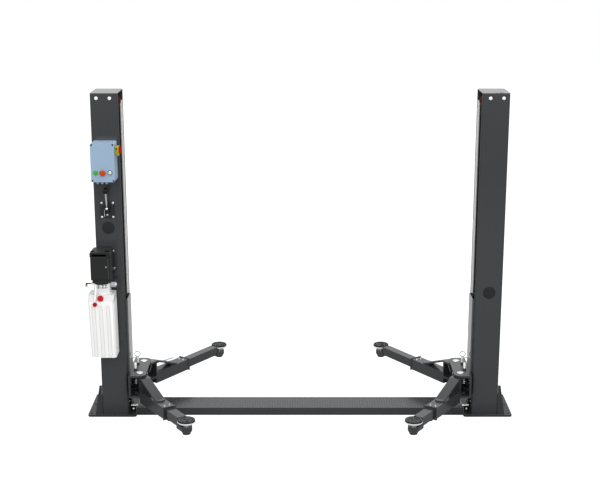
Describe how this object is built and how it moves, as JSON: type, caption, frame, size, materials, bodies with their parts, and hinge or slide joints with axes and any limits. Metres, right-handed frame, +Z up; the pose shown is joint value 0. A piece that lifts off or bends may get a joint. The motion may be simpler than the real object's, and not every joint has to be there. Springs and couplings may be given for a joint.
{
  "type": "two-post vehicle lift",
  "caption": "Electro-hydraulic vehicle lift with two columns on base plates, a floor beam between them, sliding carriages, swing arms with sliding extensions and round rubber pads.",
  "frame": {"origin": "on the floor at the middle of the floor beam", "axes": "+X to the viewer's right, from one column to the other; +Y to the back; +Z up"},
  "size_m": [3.702, 2.0561, 2.824],
  "materials": {
    "dark_paint": "semi-gloss dark grey paint",
    "black_paint": "satin black paint",
    "bright_steel": "ground steel",
    "zinc_steel": "bright zinc plating",
    "chain_steel": "greased leaf chain",
    "box_paint": "satin pale blue paint",
    "black_plastic": "matt moulded",
    "white_plastic": "satin moulded",
    "red_plastic": "satin moulded",
    "green_plastic": "satin moulded",
    "orange_plastic": "satin moulded",
    "yellow_plastic": "satin moulded",
    "pad_rubber": "matt rubber"
  },
  "bodies": {
    "root": {"floor_beam": "dark_paint", "base_plate_left": "dark_paint", "base_plate_right": "dark_paint", "column_left": "dark_paint", "column_right": "dark_paint", "column_caps": "dark_paint", "guide_strips": "bright_steel", "access_plugs": "black_plastic", "hose_unions": "bright_steel", "chain_wheels": "red_plastic", "lift_chains": "chain_steel", "lifting_cylinders": "dark_paint", "control_box": "box_paint", "box_lid": "box_paint", "pilot_lamp": "white_plastic", "switch_plate": "yellow_plastic", "lock_bracket": "black_paint", "motor": "black_plastic", "motor_bracket": "dark_paint", "valve_block": "bright_steel", "oil_tank": "white_plastic", "filler_caps": "red_plastic", "return_tube": "white_plastic"},
    "ram_left": {"ram_left": "bright_steel"},
    "ram_right": {"ram_right": "bright_steel"},
    "start_button": {"start_button": "green_plastic"},
    "stop_button": {"stop_button": "orange_plastic"},
    "switch_handle": {"switch_handle": "red_plastic"},
    "lock_lever": {"lock_lever": "bright_steel"},
    "lowering_lever": {"lowering_lever": "black_plastic"},
    "carriage_left": {"carriage_left": "dark_paint", "arm_bracket_left": "dark_paint", "arm_pins_left": "zinc_steel"},
    "arm_front_left": {"arm_front_left": "dark_paint"},
    "extension_front_left": {"extension_front_left": "dark_paint"},
    "pad_front_left": {"pad_screw_front_left": "zinc_steel", "pad_front_left": "pad_rubber"},
    "arm_lock_front_left": {"arm_lock_front_left": "zinc_steel"},
    "arm_back_left": {"arm_back_left": "dark_paint"},
    "extension_back_left": {"extension_back_left": "dark_paint"},
    "pad_back_left": {"pad_screw_back_left": "zinc_steel", "pad_back_left": "pad_rubber"},
    "arm_lock_back_left": {"arm_lock_back_left": "zinc_steel"},
    "carriage_right": {"carriage_right": "dark_paint", "arm_bracket_right": "dark_paint", "arm_pins_right": "zinc_steel"},
    "arm_front_right": {"arm_front_right": "dark_paint"},
    "extension_front_right": {"extension_front_right": "dark_paint"},
    "pad_front_right": {"pad_screw_front_right": "zinc_steel", "pad_front_right": "pad_rubber"},
    "arm_lock_front_right": {"arm_lock_front_right": "zinc_steel"},
    "arm_back_right": {"arm_back_right": "dark_paint"},
    "extension_back_right": {"extension_back_right": "dark_paint"},
    "pad_back_right": {"pad_screw_back_right": "zinc_steel", "pad_back_right": "pad_rubber"},
    "arm_lock_back_right": {"arm_lock_back_right": "zinc_steel"}
  },
  "joints": [
    {"name": "lift_left", "type": "slide", "parent": "root", "child": "carriage_left", "axis": [0, 0, 1], "range_m": [0, 1.65]},
    {"name": "lift_right", "type": "slide", "parent": "root", "child": "carriage_right", "axis": [0, 0, 1], "range_m": [0, 1.65]},
    {"name": "ram_left_stroke", "type": "slide", "parent": "root", "child": "ram_left", "axis": [0, 0, 1], "range_m": [0, 0.825]},
    {"name": "ram_right_stroke", "type": "slide", "parent": "root", "child": "ram_right", "axis": [0, 0, 1], "range_m": [0, 0.825]},
    {"name": "swing_front_left", "type": "hinge", "parent": "carriage_left", "child": "arm_front_left", "pos_m": [-1.39, -0.156, 0.22], "axis": [0, 0, -1], "range_deg": [-40, 30]},
    {"name": "reach_front_left", "type": "slide", "parent": "arm_front_left", "child": "extension_front_left", "axis": [0.5446, -0.8387, 0], "range_m": [-0.08, 0.235]},
    {"name": "pad_height_front_left", "type": "slide", "parent": "extension_front_left", "child": "pad_front_left", "axis": [0, 0, 1], "range_m": [0, 0.045]},
    {"name": "lock_pull_front_left", "type": "slide", "parent": "carriage_left", "child": "arm_lock_front_left", "axis": [0, 0, 1], "range_m": [0, 0.02], "stiffness_N_per_m": 400, "springref_m": -0.03},
    {"name": "swing_back_left", "type": "hinge", "parent": "carriage_left", "child": "arm_back_left", "pos_m": [-1.39, 0.156, 0.22], "axis": [0, 0, 1], "range_deg": [-38, 32]},
    {"name": "reach_back_left", "type": "slide", "parent": "arm_back_left", "child": "extension_back_left", "axis": [0.5678, 0.8231, 0], "range_m": [-0.299, 0.016]},
    {"name": "pad_height_back_left", "type": "slide", "parent": "extension_back_left", "child": "pad_back_left", "axis": [0, 0, 1], "range_m": [0, 0.045]},
    {"name": "lock_pull_back_left", "type": "slide", "parent": "carriage_left", "child": "arm_lock_back_left", "axis": [0, 0, 1], "range_m": [0, 0.02], "stiffness_N_per_m": 400, "springref_m": -0.03},
    {"name": "swing_front_right", "type": "hinge", "parent": "carriage_right", "child": "arm_front_right", "pos_m": [1.39, -0.156, 0.22], "axis": [0, 0, 1], "range_deg": [-40, 30]},
    {"name": "reach_front_right", "type": "slide", "parent": "arm_front_right", "child": "extension_front_right", "axis": [-0.5446, -0.8387, 0], "range_m": [-0.08, 0.235]},
    {"name": "pad_height_front_right", "type": "slide", "parent": "extension_front_right", "child": "pad_front_right", "axis": [0, 0, 1], "range_m": [0, 0.045]},
    {"name": "lock_pull_front_right", "type": "slide", "parent": "carriage_right", "child": "arm_lock_front_right", "axis": [0, 0, 1], "range_m": [0, 0.02], "stiffness_N_per_m": 400, "springref_m": -0.03},
    {"name": "swing_back_right", "type": "hinge", "parent": "carriage_right", "child": "arm_back_right", "pos_m": [1.39, 0.156, 0.22], "axis": [0, 0, -1], "range_deg": [-38, 32]},
    {"name": "reach_back_right", "type": "slide", "parent": "arm_back_right", "child": "extension_back_right", "axis": [-0.5678, 0.8231, 0], "range_m": [-0.299, 0.016]},
    {"name": "pad_height_back_right", "type": "slide", "parent": "extension_back_right", "child": "pad_back_right", "axis": [0, 0, 1], "range_m": [0, 0.045]},
    {"name": "lock_pull_back_right", "type": "slide", "parent": "carriage_right", "child": "arm_lock_back_right", "axis": [0, 0, 1], "range_m": [0, 0.02], "stiffness_N_per_m": 400, "springref_m": -0.03},
    {"name": "lock_lever_pull", "type": "hinge", "parent": "root", "child": "lock_lever", "pos_m": [-1.61, -0.2, 1.865], "axis": [1, 0, 0], "range_deg": [0, 25], "stiffness_Nm_per_rad": 3, "springref_deg": -34.38},
    {"name": "main_switch_turn", "type": "hinge", "parent": "root", "child": "switch_handle", "pos_m": [-1.484, -0.2475, 2.363], "axis": [1, 0, 0], "range_deg": [0, 90]},
    {"name": "lowering_lever_press", "type": "hinge", "parent": "root", "child": "lowering_lever", "pos_m": [-1.739, -0.306, 1.249], "axis": [0, -1, 0], "range_deg": [0, 15], "stiffness_Nm_per_rad": 1, "springref_deg": -22.92},
    {"name": "start_button_press", "type": "slide", "parent": "root", "child": "start_button", "axis": [0, 1, 0], "range_m": [0, 0.004], "stiffness_N_per_m": 800, "springref_m": -0.002},
    {"name": "stop_button_press", "type": "slide", "parent": "root", "child": "stop_button", "axis": [0, 1, 0], "range_m": [0, 0.004], "stiffness_N_per_m": 800, "springref_m": -0.002}
  ],
  "couplings": [
    {"joint": "lift_right", "follows": "lift_left", "ratio": 1},
    {"joint": "ram_left_stroke", "follows": "lift_left", "ratio": 0.5},
    {"joint": "ram_right_stroke", "follows": "lift_left", "ratio": 0.5}
  ]
}
